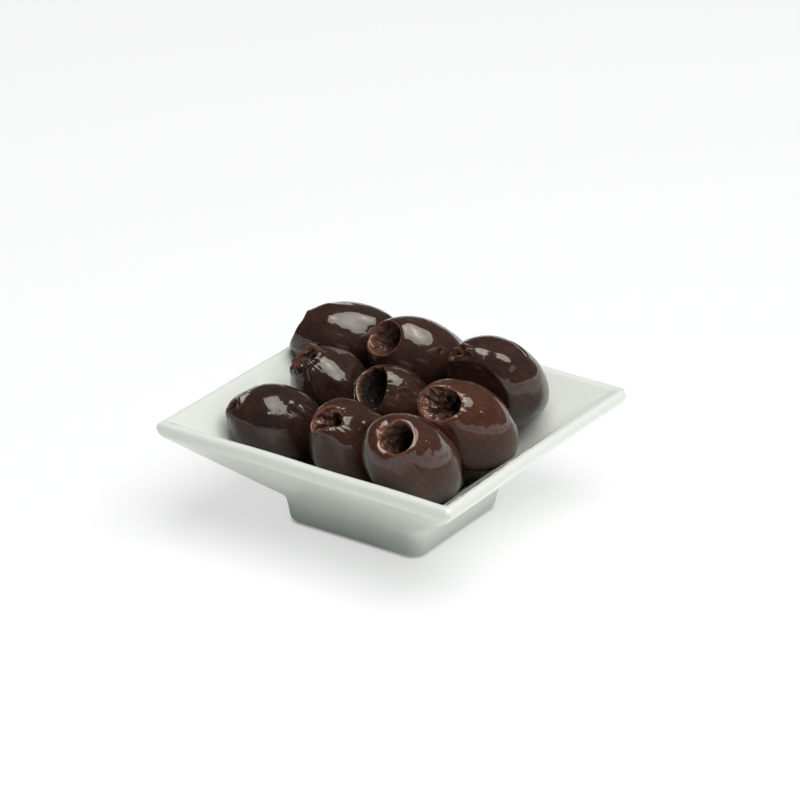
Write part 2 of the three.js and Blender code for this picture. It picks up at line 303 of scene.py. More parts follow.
class DishSettings(bpy.types.PropertyGroup):
    """The dish's sizes and colours"""

    side: length("Side", "Outside width of the lip", 0.0803)
    height: length("Height", "Height of the lip's top", 0.028)
    lip_face: length("Lip face", "Height of the lip's upright outer face", 0.00295)
    wall: length("Wall", "Thickness of the sloping wall", 0.0036)
    foot: length("Foot", "Width of the foot where it stands", 0.0366)
    foot_top: length("Foot top", "Width of the foot where it meets the wall", 0.0386)
    foot_height: length("Foot height", "Height of the foot", 0.00684)
    floor_height: length("Floor", "Height of the inside floor", 0.0105)
    glaze: colour("Glaze", "Colour of the glazed porcelain", (0.72, 0.74, 0.69))
    # Painted shade: darker, greener glaze round the foot, where the shade under the overhang
    # falls.
    painted_foot_shade: colour(
        "Pooled glaze", "Colour of the thicker glaze round the foot", (0.44, 0.475, 0.44)
    )
    # Brine's colour, also laid as a dark pool on the hollow's floor, which is partly painted shade
    # for the shadow under the heap.
    brine_and_shade: colour("Brine", "Colour of the wall under the brine that wets it", (0.2, 0.16, 0.1))
    bisque: colour("Bare ring", "Colour of the unglazed ring it stands on", (0.66, 0.62, 0.54))


class OliveSettings(bpy.types.PropertyGroup):
    """The olives' colours and how finely they are built"""

    skin_dark: colour("Dark skin", "Colour of the darkest skin", (0.0215, 0.012, 0.0108))
    skin_warm: colour("Warm skin", "Colour of the reddest skin", (0.06, 0.022, 0.0135))
    flesh: colour("Flesh", "Colour of the flesh round the pit hole", (0.21, 0.104, 0.077))
    flesh_dark: colour("Dark flesh", "Colour of the flesh in its folds", (0.08, 0.036, 0.028))
    # Painted shade: the dark colour the flesh takes down in the pit hole, where light does not
    # reach.
    pit_painted_shade: colour(
        "Deep flesh", "Colour of the flesh down in the pit hole", (0.019, 0.0155, 0.0135)
    )
    cut: colour("Cut edge", "Colour of the cut edge of the mouth", (0.16, 0.06, 0.035))
    sides: IntProperty(
        name="Sides", description="Facets round an olive", default=250, min=16, max=400
    )
    rings: IntProperty(
        name="Rings", description="Rings along an olive's skin", default=112, min=8, max=300
    )


class StageSettings(bpy.types.PropertyGroup):
    """The camera's place and the light on the stage"""

    azimuth: FloatProperty(
        name="Azimuth", description="The camera's way round, from the front", default=32.263
    )
    elevation: FloatProperty(
        name="Elevation", description="The camera's height above the horizon", default=25.738
    )
    roll: FloatProperty(name="Roll", description="The camera's lean", default=1.289)
    distance: length("Distance", "From the camera to the dish", 1.09474)
    lens: FloatProperty(name="Lens", description="Focal length in millimetres", default=209.05)
    softbox: FloatProperty(
        name="Softbox", description="Brightness of the softbox", default=6.5, min=0
    )
    floor_white: FloatProperty(
        name="Floor", description="How much light the floor sends back", default=0.9, min=0, max=1
    )
    floor_glow: FloatProperty(
        name="Floor glow", description="Light that comes through the floor", default=0.12, min=0
    )
    fill: FloatProperty(
        name="Fill", description="Brightness of the soft light from all round", default=0.28, min=0
    )
    fill_side: FloatVectorProperty(
        name="Fill side", description="Where the soft light is stronger, as a share along XYZ",
        default=(0.45, 0.2, 0.0),
    )


# ------------------------------------------------------------------ numbers


def unit(vector):
    """A vector, or each of a grid of them, over its length."""
    vector = np.asarray(vector, float)
    return vector / np.linalg.norm(vector, axis=-1, keepdims=True)


def direction(angles):
    """The way that points so many degrees round from +X, and up from the horizontal."""
    around, above = np.radians(angles)
    return np.array(
        [math.cos(above) * math.cos(around), math.cos(above) * math.sin(around), math.sin(above)]
    )


def unevenness(points, seed, wavelength, count=16):
    """The sum of plane sine waves of one length in random directions, scaled to about 1."""
    rng = np.random.default_rng(seed)
    ways = unit(rng.normal(size=(count, 3))) * (2 * math.pi / wavelength)
    phases = rng.uniform(0, 2 * math.pi, count)
    return np.sin(points @ ways.T + phases).sum(-1) * math.sqrt(2 / count)


def smoothstep(low, high, value):
    """0 below low, 1 above high, and 3t^2 - 2t^3 between."""
    t = np.clip((value - low) / (high - low), 0, 1)
    return t * t * (3 - 2 * t)


# ------------------------------------------------------------------ meshes


def closed_surface(name, rings, ends, material, marks=None):
    """A closed mesh from a grid of rings (rows, columns, 3) and a point at each end.

    Each row joins on to itself, each end joins its nearest row by a fan of triangles, and
    the whole is turned so that its volume is positive. Points are in millimetres.
    """
    rows, columns = rings.shape[:2]
    points = np.vstack([ends[:1], rings.reshape(-1, 3), ends[1:]]) * MM
    index = 1 + np.arange(rows * columns).reshape(rows, columns)
    after = np.roll(index, -1, axis=1)
    quads = np.stack([index[:-1], after[:-1], after[1:], index[1:]], -1).reshape(-1, 4)
    last = len(points) - 1
    first_fan = np.stack([np.zeros(columns, int), after[0], index[0]], -1)
    last_fan = np.stack([np.full(columns, last), index[-1], after[-1]], -1)
    fans = np.vstack([first_fan, last_fan])
    corner = points[quads]
    halves = ((corner[:, 1], corner[:, 2]), (corner[:, 2], corner[:, 3]))
    volume = sum(np.einsum("ij,ij->", corner[:, 0], np.cross(*pair)) for pair in halves)
    if volume < 0:
        quads, fans = quads[:, ::-1], fans[:, ::-1]
    mesh = bpy.data.meshes.new(name)
    mesh.vertices.add(len(points))
    mesh.vertices.foreach_set("co", points.ravel())
    mesh.loops.add(quads.size + fans.size)
    mesh.loops.foreach_set("vertex_index", np.concatenate([quads.ravel(), fans.ravel()]))
    mesh.polygons.add(len(quads) + len(fans))
    starts = np.concatenate(
        [np.arange(len(quads)) * 4, quads.size + np.arange(len(fans)) * 3]
    )
    mesh.polygons.foreach_set("loop_start", starts)
    mesh.polygons.foreach_set("use_smooth", np.ones(len(starts), bool))
    for key, values in (marks or {}).items():
        data = mesh.attributes.new(key, "FLOAT", "POINT")
        flat = np.concatenate([[values.flat[0]], values.ravel(), [values.flat[-1]]])
        data.data.foreach_set("value", flat.astype(np.float32))
    mesh.update(calc_edges=True)
    mesh.validate()
    mesh.materials.append(material)
    piece = bpy.data.objects.new(name, mesh)
    bpy.context.scene.collection.objects.link(piece)
    return piece


# ------------------------------------------------------------------ the dish


def wall_slope(dish):
    """The slope of the wall, the same inside and out, in radians above the horizontal."""
    rise = dish.height - dish.lip_face - dish.foot_height
    return math.atan2(rise, (dish.side - dish.foot_top) / 2)


def inner_half(dish, height):
    """Half the width of the hollow at a height, in metres."""
    slope = wall_slope(dish)
    outer = dish.side / 2 - (dish.height - dish.lip_face - height) / math.tan(slope)
    return outer - dish.wall / math.sin(slope)


def rounded_profile(corners, step):
    """A line through the corners (half width, height, rounding, plan radius), each corner
    replaced by the arc that touches both its sides, and each straight divided evenly."""
    points = [corners[0][:2] + corners[0][3:]]
    for before, corner, after in zip(corners, corners[1:], corners[2:]):
        at = np.array(corner[:2])
        back, on = unit(np.subtract(before[:2], at)), unit(np.subtract(after[:2], at))
        half_angle = math.acos(np.clip(back @ on, -1, 1)) / 2
        centre = at + unit(back + on) * corner[2] / math.sin(half_angle)
        start = at + back * corner[2] / math.tan(half_angle) - centre
        sweep = math.pi - 2 * half_angle
        if start[0] * (on - back)[1] - start[1] * (on - back)[0] < 0:
            sweep = -sweep
        count = max(4, round(abs(sweep) / math.radians(5)))
        for part in range(count + 1):
            turn = sweep * part / count
            cosine, sine = math.cos(turn), math.sin(turn)
            x = centre[0] + start[0] * cosine - start[1] * sine
            z = centre[1] + start[0] * sine + start[1] * cosine
            points.append((x, z, corner[3]))
    points.append(corners[-1][:2] + corners[-1][3:])
    points = np.array(points)
    reaches = np.hypot(*np.diff(points[:, :2], axis=0).T)
    dense = [points[:1]]
    for here, there, reach in zip(points, points[1:], reaches):
        share = np.linspace(0, 1, max(1, math.ceil(reach / step)) + 1)[1:, None]
        dense.append(here + (there - here) * share)
    return np.vstack(dense)


def square_rings(profile, bow, half_side, corner_steps=14, side_steps=60):
    """The profile carried round a square: each ring's corners are quarter circles of its own
    plan radius, times the corner's share at the lip's outside, and each side is drawn in by
    a parabola that is deepest at its middle."""
    half, z, plan = profile.T[:, :, None]
    outermost = smoothstep(0.92, 0.99, half / half_side)
    radii = [np.minimum(plan * (1 + (tip - 1) * outermost), half) for tip in TIPS]
    angle = np.linspace(0, math.pi / 2, corner_steps + 1)
    along = np.linspace(-1, 1, side_steps + 1)[1:-1]
    turned = []
    for count, radius in enumerate(radii):
        straight, before = half - radius, half - radii[count - 1]
        drawn_in = half - bow * half / half_side * (1 - along**2)
        level = ((1 + along) * straight - (1 - along) * before) / 2
        side = np.stack([drawn_in, level], -1)
        round_corner = np.stack(
            [straight + radius * np.cos(angle), straight + radius * np.sin(angle)], -1
        )
        quarter = np.concatenate([side, round_corner], axis=1)
        for _ in range(count):
            quarter = np.stack([-quarter[..., 1], quarter[..., 0]], -1)
        turned.append(quarter)
    flat = np.concatenate(turned, axis=1)
    return np.concatenate([flat, np.broadcast_to(z[..., None], flat.shape[:2] + (1,))], -1)


def make_dish(dish):
    """The dish's section is a line from under the foot's hollow, round the foot, up the
    outside, over the lip and down to the floor, and square_rings carries it round. Long low
    waves, from nothing at the foot, leave it as uneven as fired clay."""
    side, height, foot = dish.side / 2 / MM, dish.height / MM, dish.foot / 2 / MM
    recess = foot - RING_WIDTH
    floor = dish.floor_height / MM
    lip_foot = height - dish.lip_face / MM
    brim, hollow = (inner_half(dish, level) / MM for level in (dish.height, dish.floor_height))
    corners = [
        (0.0, RECESS_DEPTH, 0.0, CORNER["foot"]),
        (recess - RECESS_DRAFT, RECESS_DEPTH, TURN["recess"], CORNER["foot"]),
        (recess, 0.0, TURN["ring_inside"], CORNER["foot"]),
        (foot, 0.0, TURN["ring_outside"], CORNER["foot"]),
        (dish.foot_top / 2 / MM, dish.foot_height / MM, TURN["foot_top"], CORNER["foot"]),
        (side, lip_foot, TURN["lip_foot"], CORNER["lip"]),
        (side, height, TURN["lip"], CORNER["lip"]),
        (brim, height, TURN["inner_lip"], CORNER["inner_lip"]),
        (hollow, floor, TURN["floor"], CORNER["floor"]),
        (0.0, floor, 0.0, CORNER["floor"]),
    ]
    profile = rounded_profile(corners, step=0.9)
    rings = square_rings(profile[1:-1], SIDE_BOW, side)
    fired = 0.04 * unevenness(rings, 3, 30)
    rings[..., 2] += fired * smoothstep(2, 10, rings[..., 2])
    ends = (0, 0, RECESS_DEPTH), (0, 0, floor)
    piece = closed_surface("porcelain_dish", rings, ends, glazed_porcelain(dish))
    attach(piece, "root")
    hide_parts("dish")


# ------------------------------------------------------------------ the olives


def stretch(olive):
    """The matrix that turns a unit sphere into the olive's ellipsoid: half its width every
    way, and half its length along its axis."""
    wide, long = np.array(olive["size"]) / 2
    axis = direction(olive["axis"])
    return wide * np.eye(3) + (long - wide) * np.outer(axis, axis)


def depth_in(points, olive):
    """How far out points lie when the ellipsoid is turned back into the unit sphere: 0 at an
    olive's middle and 1 on its skin."""
    return np.linalg.norm((points - olive["at"]) @ np.linalg.inv(stretch(olive)), axis=-1)


def press_together(points, olive, others, gap=0.004, least=0.4):
    """Where a point lies nearer to another olive's middle than to its own, as shares of the
    way to each skin, it moves back along the line to its own middle until both are equal.
    The share that is left of its way is found by halving, and isn't under the least."""
    middle = np.array(olive["at"])
    for other in others:
        reach = points - middle
        own, its = depth_in(points, olive), depth_in(points, other)
        inside = (its < 1.01) & (its < own + gap)
        if not inside.any():
            continue
        low, high = np.full(inside.sum(), least), np.ones(inside.sum())
        for _ in range(14):
            share = (low + high) / 2
            moved = middle + reach[inside] * share[:, None]
            too_far = depth_in(moved, other) < own[inside] * share + gap
            high = np.where(too_far, share, high)
            low = np.where(too_far, low, share)
        points[inside] = middle + reach[inside] * low[:, None]
    return points


def press_into_dish(points, dish, floor_gap=0.04, wall_gap=0.24):
    """Points past the hollow's four planes or its floor are brought back square to them."""
    slope = wall_slope(dish)
    top = np.array([inner_half(dish, dish.height) / MM] * 2 + [dish.height / MM])
    for x, y in ((1, 0), (-1, 0), (0, 1), (0, -1)):
        inward = np.array([-x * math.sin(slope), -y * math.sin(slope), math.cos(slope)])
        clearance = (points - top * (x, y, 1)) @ inward - wall_gap
        points -= np.minimum(clearance, 0)[..., None] * inward
    points[..., 2] = np.maximum(points[..., 2], dish.floor_height / MM + floor_gap)
    return points


def mouth_share(mouth, angle):
    """The mouth's half width at each angle, as a share of the longest: an ellipse, or the
    chord where that lies nearer."""
    turned = angle - math.radians(mouth["turn"])
    share = 1 / np.hypot(np.cos(turned), np.sin(turned) / mouth["squash"])
    if "chord" in mouth:
        way, reach = mouth["chord"]
        toward_chord = np.cos(angle - math.radians(way))
        share = 1 / np.hypot(1 / share**3, np.maximum(toward_chord, 0) ** 3 / reach**3) ** (1 / 3)
    return share


def round_mouth(olive, angle):
    """The unit sphere's pole under the middle of the mouth, and the way that leads away from
    it at each angle: its cosine along one direction square to the pole, and its sine along
    the other."""
    facing = direction(olive["mouth"]["toward"])
    pole = unit(stretch(olive) @ facing)
    across = np.cross((0, 0, 1), facing)
    first = unit(across - (across @ pole) * pole)
    second = np.cross(pole, first)
    return pole, np.cos(angle)[:, None] * first + np.sin(angle)[:, None] * second


def cut_back(points, olive):
    """Each cut's height is a plane square to its direction, or a parabola across its line.
    What stands above it comes down to it, with a hyperbola for the rounded edge."""
    for cut in olive.get("cuts", ()):
        facing = direction(cut["toward"])
        height = points @ facing
        level = np.linalg.norm(stretch(olive) @ facing) * cut["share"]
        if "along" in cut:
            beside = unit(np.cross(facing, direction(cut["along"])))
            level = level - (points @ beside) ** 2 / (2 * cut["radius"])
        over = height - level
        over = np.where(height > 0, (over + np.hypot(over, cut["soft"])) / 2, 0)
        points = points - over[..., None] * facing
    return points


def crease_depth(points, olive):
    """How far the creases press each point in: a bell across each line of directions, laid
    on the ellipsoid, and less deep from its start to its end."""
    depth = np.zeros(points.shape[:-1])
    for groove in olive.get("creases", ()):
        line = np.array([direction(angles) for angles in groove["line"]])
        line /= np.linalg.norm(line @ np.linalg.inv(stretch(olive)), axis=-1, keepdims=True)
        nearest = np.full(depth.shape, np.inf)
        along = np.zeros(depth.shape)
        for count, (start, end) in enumerate(zip(line, line[1:])):
            step = end - start
            share = np.clip((points - start) @ step / (step @ step), 0, 1)
            gap = np.linalg.norm(points - start - share[..., None] * step, axis=-1)
            along = np.where(gap < nearest, (count + share) / (len(line) - 1), along)
            nearest = np.minimum(gap, nearest)
        bell = np.exp(-((nearest / groove["width"]) ** 2))
        depth += groove["depth"] * bell * (1 - groove["fade"] * along)
    return depth


def pimples(points, olive, seed, count=26):
    """Small bells at random places on the skin, some out and some in."""
    rng = np.random.default_rng(seed)
    places = unit(rng.normal(size=(count, 3))) @ stretch(olive)
    heights = rng.uniform(-0.045, 0.03, count)
    widths = rng.uniform(0.4, 1.0, count)
    push = np.zeros(points.shape[:-1])
    for place, height, width in zip(places, heights, widths):
        push += height * np.exp(-(((points - place) ** 2).sum(-1)) / width**2)
    return push


def skin_at(ball, olive, seed):
    """The ellipsoid's point for each point of a unit sphere, with its cuts, its creases, and
    sums of sine waves of four lengths; and the way out of the ellipsoid there."""
    body = stretch(olive)
    outward = unit(ball @ np.linalg.inv(body))
    whole = ball @ body
    push = pimples(whole, olive, seed + 7) - crease_depth(whole, olive)
    for count, (height, wavelength) in enumerate(SKIN_WAVES):
        push += height * unevenness(whole, seed + count, wavelength)
    return cut_back(whole, olive) + outward * push[..., None], outward


def flesh_rings(mouth, skin_edge, rim, angle, seed):
    """The rings over the mouth's rolled edge and down its pit hole, the middle of the hole's
    closed end, and the marks on the rings.

    A curve of the second degree leads from the skin's edge, by way of the rim, to a line just
    inside it. The hole's rings keep the rim's outline and narrow down to the end, and sine
    waves of the place and of the angle give the lumps and folds of the flesh. The depth mark
    is painted shade, darker down the hole; on the light's side the hole's wall faces away from
    the light, and its painted shade begins nearer to the rim.
    """
    into = -direction(mouth["out"])
    centre = rim.mean(0)
    radial = rim - centre
    begins = mouth["roll"] * 0.6 + 0.25
    lower = centre + radial * THROAT + into * begins
    turn = np.linspace(0, 1, EDGE_RINGS + 1)[1:, None, None]
    edge = (1 - turn) ** 2 * skin_edge + 2 * turn * (1 - turn) * rim + turn**2 * lower

    down = np.linspace(0, 1, HOLE_RINGS + 2)[1:-1, None, None]
    width = mouth["taper"] + (THROAT - mouth["taper"]) * (1 - down) ** 2.2
    width = width * np.sqrt(1 - down**5)
    hole = centre + into * (begins + (mouth["depth"] - begins) * down) + radial * width

    flesh = np.concatenate([edge, hole])
    sides = flesh - centre - into * ((flesh - centre) @ into)[..., None]
    sides = sides / (np.linalg.norm(sides, axis=-1, keepdims=True) + 1e-6)
    folds = np.sin(11 * angle + 2 * np.sin(3 * angle + seed)) + np.sin(27 * angle + seed) / 2
    swell = mouth["lumps"] * unevenness(flesh, seed + 5, 2.1)
    swell = swell + 0.045 * unevenness(flesh, seed + 6, 0.9) + mouth["folds"] * folds
    fade = smoothstep(0.2, 1, np.linalg.norm(flesh - skin_edge, axis=-1) / 2.2)
    flesh = flesh + sides * (swell * fade)[..., None]

    lit = unit(LIT_FROM - into * (LIT_FROM @ into))
    shaded = smoothstep(-0.5, 0.7, sides @ lit)[EDGE_RINGS:]
    turn, down = turn[:, :, 0], down[:, :, 0]
    # Painted shade: darker down the hole, and sooner on the wall that faces away from the light.
    pit_painted_shade = smoothstep(0.22 - 0.2 * shaded, 0.75 - 0.45 * shaded, down)
    marks = {
        "flesh": np.concatenate([smoothstep(0.3, 0.9, turn), np.ones_like(down)]),
        "cut": np.concatenate([smoothstep(0, 0.5, turn), smoothstep(0.1, 0, down)]),
        "depth": np.concatenate([np.zeros((EDGE_RINGS, len(angle))), pit_painted_shade]),
    }
    return flesh, centre + into * mouth["depth"], marks


def olive_rings(olive, settings, seed, fineness):
    """Rings from the far end over the skin to the mouth, and down the pit hole to its end,
    with the points that close both ends and the marks on the rings.

    On a unit sphere the rings lie at angles from the far pole to the mouth's edge, closer
    together toward it, and skin_at shapes them. A bell lifts the skin round the mouth, and
    sine waves of the angle pucker it."""
    mouth = olive["mouth"]
    wide = olive["size"][0] / 2
    angle = np.linspace(0, 2 * math.pi, int(settings.sides * fineness), endpoint=False)
    pole, away = round_mouth(olive, angle)

    def on_skin(from_mouth):
        ball = np.cos(from_mouth)[..., None] * pole + np.sin(from_mouth)[..., None] * away
        return skin_at(ball, olive, seed)

    edge = np.arcsin(mouth["across"] / 2 * mouth_share(mouth, angle) / wide)
    roll = mouth["roll"] / (wide * np.cos(edge))
    share = np.linspace(0, 1, int(settings.rings * fineness) + 1)[1:, None]
    share = share + 0.12 * np.sin(math.pi * share) * share
    skin, outward = on_skin(math.pi + (edge + roll - math.pi) * share)
    from_edge = np.linalg.norm(skin - skin[-1:], axis=-1)
    lip = mouth["lip"] * (1 + 0.5 * unevenness(skin, seed + 8, 4))
    pleats = np.sin(17 * angle + 2 * np.sin(2 * angle + seed)) + np.sin(29 * angle + seed)
    pucker = mouth["ragged"] * 0.08 * pleats
    skin = skin + outward * (lip * np.exp(-((from_edge / LIP_REACH) ** 2)))[..., None]
    skin = skin + outward * (pucker * np.exp(-from_edge / PUCKER_REACH))[..., None]

    rim, rim_out = on_skin(edge)
    torn = mouth["ragged"] * unevenness(rim, seed + 4, 2.6)
    rim = rim + rim_out * (mouth["lip"] + torn)[:, None]
    flesh, end, marks = flesh_rings(mouth, skin[-1], rim, angle, seed)

    blank = np.zeros(skin.shape[:2])
    for key, mark in marks.items():
        marks[key] = np.concatenate([blank, np.broadcast_to(mark, flesh.shape[:2])])
    # Painted shade: a mouth's flesh is darkened at least this far toward the pit hole's dark
    # colour.
    marks["depth"] = np.maximum(marks["depth"], mouth.get("mouth_painted_shade", 0))
    far_end = on_skin(np.full(len(angle), math.pi))[0][0]
    at = olive["at"]
    return np.concatenate([skin, flesh]) + at, far_end + at, end + at, marks


def make_olive(name, olive, others, dish, settings, seed, fineness, material):
    """One olive's rings, pressed back where another olive or the dish is in their way."""
    rings, far_end, end, marks = olive_rings(olive, settings, seed, fineness)
    rings = press_into_dish(press_together(rings, olive, others), dish)
    far_end = press_into_dish(press_together(far_end[None], olive, others), dish)[0]
    marks["warmth"] = np.full(rings.shape[:2], olive["warmth"])
    piece = closed_surface("olive_" + name, rings, (far_end, end), material, marks)
    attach(piece, "root")
    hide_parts("olives")


def make_core(dish, material):
    """An ellipsoid by its two angles, a little uneven, pressed into the dish's hollow."""
    down = np.linspace(0, math.pi, 42)[1:-1, None]
    around = np.linspace(0, 2 * math.pi, 96, endpoint=False)
    level = -np.cos(down) + 0 * around
    ball = np.stack([np.sin(down) * np.cos(around), np.sin(down) * np.sin(around), level], -1)
    rings = ball * CORE_HALVES
    rings += ball * (0.5 * unevenness(rings, 41, 9) + 0.1 * unevenness(rings, 42, 3))[..., None]
    rings = press_into_dish(rings + CORE_AT, dish)
    bottom = np.array(CORE_AT) - (0, 0, CORE_HALVES[2])
    top = np.array(CORE_AT) + (0, 0, CORE_HALVES[2])
    bottom = press_into_dish(bottom[None], dish)[0]
    plain = {key: np.zeros(rings.shape[:2]) for key in MARKS}
    piece = closed_surface("olive_core", rings, (bottom, top), material, plain)
    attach(piece, "root")
    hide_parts("olives")


# ------------------------------------------------------------------ finishes


class NodeMaker:
    """Adds nodes to a tree and joins their sockets."""

    def __init__(self, tree):
        self.tree = tree
        tree.nodes.clear()

    def add(self, kind, inputs=None, **settings):
        """A node, with its inputs joined to sockets or set to values."""
        node = self.tree.nodes.new(kind)
        for key, value in settings.items():
            setattr(node, key, value)
        for key, value in (inputs or {}).items():
            if isinstance(value, bpy.types.NodeSocket):
                self.tree.links.new(value, node.inputs[key])
            else:
                node.inputs[key].default_value = value
        return node

    def axes(self, vector):
        """A vector's X, Y and Z."""
        return self.add("ShaderNodeSeparateXYZ", {0: vector}).outputs

    def dot(self, first, second):
        """The dot product of two vectors."""
        inputs = {0: first, 1: second}
        return self.add("ShaderNodeVectorMath", inputs, operation="DOT_PRODUCT").outputs["Value"]

    def scaled(self, vector, share):
        """A vector or a colour times a number."""
        inputs = {0: vector, 3: share}
        return self.add("ShaderNodeVectorMath", inputs, operation="SCALE").outputs[0]

    def noise(self, vector, scale, detail):
        """Cloud noise, with so many clouds to a metre."""
        inputs = {"Vector": vector, "Scale": scale, "Detail": detail}
        return self.add("ShaderNodeTexNoise", inputs).outputs[0]

    def math(self, kind, *values, **settings):
        """What a Math node of this kind gives for the values."""
        inputs = dict(enumerate(values))
        return self.add("ShaderNodeMath", inputs, operation=kind, **settings).outputs[0]

    def product(self, *values):
        """The values multiplied one after another."""
        total = values[0]
        for value in values[1:]:
            total = self.math("MULTIPLY", total, value)
        return total

    def ramp(self, value, start, end, first=0.0, last=1.0):
        """The first number up to the start, the last from the end on, and even between."""
        inputs = {"Value": value, "From Min": start, "From Max": end}
        inputs |= {"To Min": first, "To Max": last}
        return self.add("ShaderNodeMapRange", inputs).outputs[0]

    def bump(self, height, strength, distance, **normal):
        """The normal that a height gives to the surface, or to another normal."""
        inputs = {"Height": height, "Strength": strength, "Distance": distance, **normal}
        return self.add("ShaderNodeBump", inputs).outputs[0]

    def mix(self, share, first, second):
        """The first number at a share of 0 and the second at 1."""
        inputs = {0: share, 2: first, 3: second}
        return self.add("ShaderNodeMix", inputs, data_type="FLOAT").outputs[0]

    def tint(self, share, first, second):
        """The first colour at a share of 0 and the second at 1."""
        inputs = {0: share}
        for key, value in ((6, first), (7, second)):
            inputs[key] = value if isinstance(value, bpy.types.NodeSocket) else (*value, 1)
        return self.add("ShaderNodeMix", inputs, data_type="RGBA").outputs[2]


def shader_group(name, inputs, outputs):
    """An empty node group with named inputs (name, kind, default) and outputs (name, kind)."""
    group = bpy.data.node_groups.new(name, "ShaderNodeTree")
    for label, kind, default in inputs:
        socket = group.interface.new_socket(label, in_out="INPUT", socket_type=kind)
        if default is not None:
            socket.default_value = default
    for label, kind in outputs:
        group.interface.new_socket(label, in_out="OUTPUT", socket_type=kind)
    return group, NodeMaker(group)


def mottle_group():
    """Two sizes of cloud noise: Tone drifts over the surface and Height is its fine relief."""
    if "Mottle" in bpy.data.node_groups:
        return bpy.data.node_groups["Mottle"]
    group, maker = shader_group(
        "Mottle",
        [("Vector", "NodeSocketVector", None), ("Tone size", "NodeSocketFloat", 0.005),
         ("Relief size", "NodeSocketFloat", 0.0006)],
        [("Tone", "NodeSocketFloat"), ("Height", "NodeSocketFloat")],
    )
    place, tone_size, relief_size = list(maker.add("NodeGroupInput").outputs)[:3]
    tone = maker.noise(place, maker.math("DIVIDE", 1.0, tone_size), 4.0)
    relief = maker.noise(place, maker.math("DIVIDE", 1.0, relief_size), 2.0)
    maker.add("NodeGroupOutput", {0: tone, 1: relief})
    return group


def new_material(name):
    """An empty material and the maker of its nodes."""
    material = bpy.data.materials.new(name)
    material.use_nodes = True
    return material, NodeMaker(material.node_tree)


def brine_and_shade_group():
    """Where brine wets the inside of the dish: 1 in a dark pool on the floor, which is also
    painted shade for the shadow under the heap, and streaks of noise, drawn out along Y, on the
    rounding inside the +X side's lip, under an uneven line.
    Heights and widths are in metres."""
    group, maker = shader_group(
        "Brine", [("Vector", "NodeSocketVector", None)],
        [("Wet_and_shaded", "NodeSocketFloat"), ("Streaks", "NodeSocketFloat")],
    )
    place = maker.add("NodeGroupInput").outputs[0]
    x, y, z = maker.axes(place)
    drawn = maker.add(
        "ShaderNodeVectorMath", {0: place, 1: (1.0, 0.2, 1.0)}, operation="MULTIPLY"
    ).outputs[0]
    noise = maker.noise(drawn, 1200.0, 2.0)
    widest = maker.math("MAXIMUM", maker.math("ABSOLUTE", x), maker.math("ABSOLUTE", y))
    past_wall = maker.math("MULTIPLY_ADD", z, -WALL_RUN, widest)
    level = maker.math("MULTIPLY_ADD", noise, 0.0014, z)
    between_walls = maker.ramp(past_wall, 0.0089, 0.0085)
    over_floor = maker.ramp(z, 0.0099, 0.0101)
    inside_lip = maker.ramp(widest, 0.0389, 0.0386)
    inside = maker.product(between_walls, over_floor, inside_lip)
    # Painted shade: a dark pool on the hollow's floor, under the heap.
    shaded_pool = maker.ramp(z, 0.0135, 0.0125)
    on_side = maker.ramp(x, 0.0369, 0.0374)
    under_line = maker.ramp(level, 0.02865, 0.0284)
    in_front = maker.ramp(y, 0.012, 0.0)
    streaky = maker.ramp(noise, 0.36, 0.46)
    film = maker.product(on_side, under_line, in_front, streaky)
    wet = maker.product(inside, maker.math("MAXIMUM", shaded_pool, film))
    maker.add("NodeGroupOutput", {0: wet, 1: noise})
    return group


def glazed_porcelain(dish):
    """White glaze with a faint green-grey drift, darker and greener round the foot as painted
    shade, wet with brine on one side, with a dark pool on the floor that is partly painted
    shade, and a bare ring where the dish stands."""
    material, maker = new_material("glazed_porcelain")
    place = maker.add("ShaderNodeTexCoord").outputs["Object"]
    clouds = {"Vector": place, "Tone size": 0.018, "Relief size": 0.004}
    mottle = maker.add("ShaderNodeGroup", clouds, node_tree=mottle_group()).outputs
    brine_and_shade = maker.add("ShaderNodeGroup", {"Vector": place}, node_tree=brine_and_shade_group()).outputs
    height = maker.axes(place)["Z"]
    bare = maker.ramp(height, 0.0004, 0.0002)
    # Painted shade: the glaze darkens and greens toward the foot, under the overhang.
    foot_shade_share = maker.ramp(height, 0.0015, 0.0085, 1.0, 0.0)
    paint = maker.tint(mottle["Tone"], dish.glaze, [part * 0.965 for part in dish.glaze])
    paint = maker.tint(foot_shade_share, paint, dish.painted_foot_shade)
    # Brine on one side, and a dark pool on the floor that is partly painted shade.
    paint = maker.tint(brine_and_shade["Wet_and_shaded"], paint, dish.brine_and_shade)
    paint = maker.tint(bare, paint, dish.bisque)
    glossy = maker.ramp(brine_and_shade["Wet_and_shaded"], 0.0, 1.0, 0.16, 0.04)
    rough = maker.mix(bare, glossy, 0.75)
    streaks = maker.product(brine_and_shade["Streaks"], brine_and_shade["Wet_and_shaded"])
    ripples = maker.bump(streaks, 0.8, 0.0003)
    normal = maker.bump(mottle["Height"], 0.04, 0.0002, Normal=ripples)
    shader = maker.add(
        "ShaderNodeBsdfPrincipled",
        {"Base Color": paint, "Roughness": rough, "IOR": 1.5, "Normal": normal},
    )
    maker.add("ShaderNodeOutputMaterial", {"Surface": shader.outputs[0]})
    return material


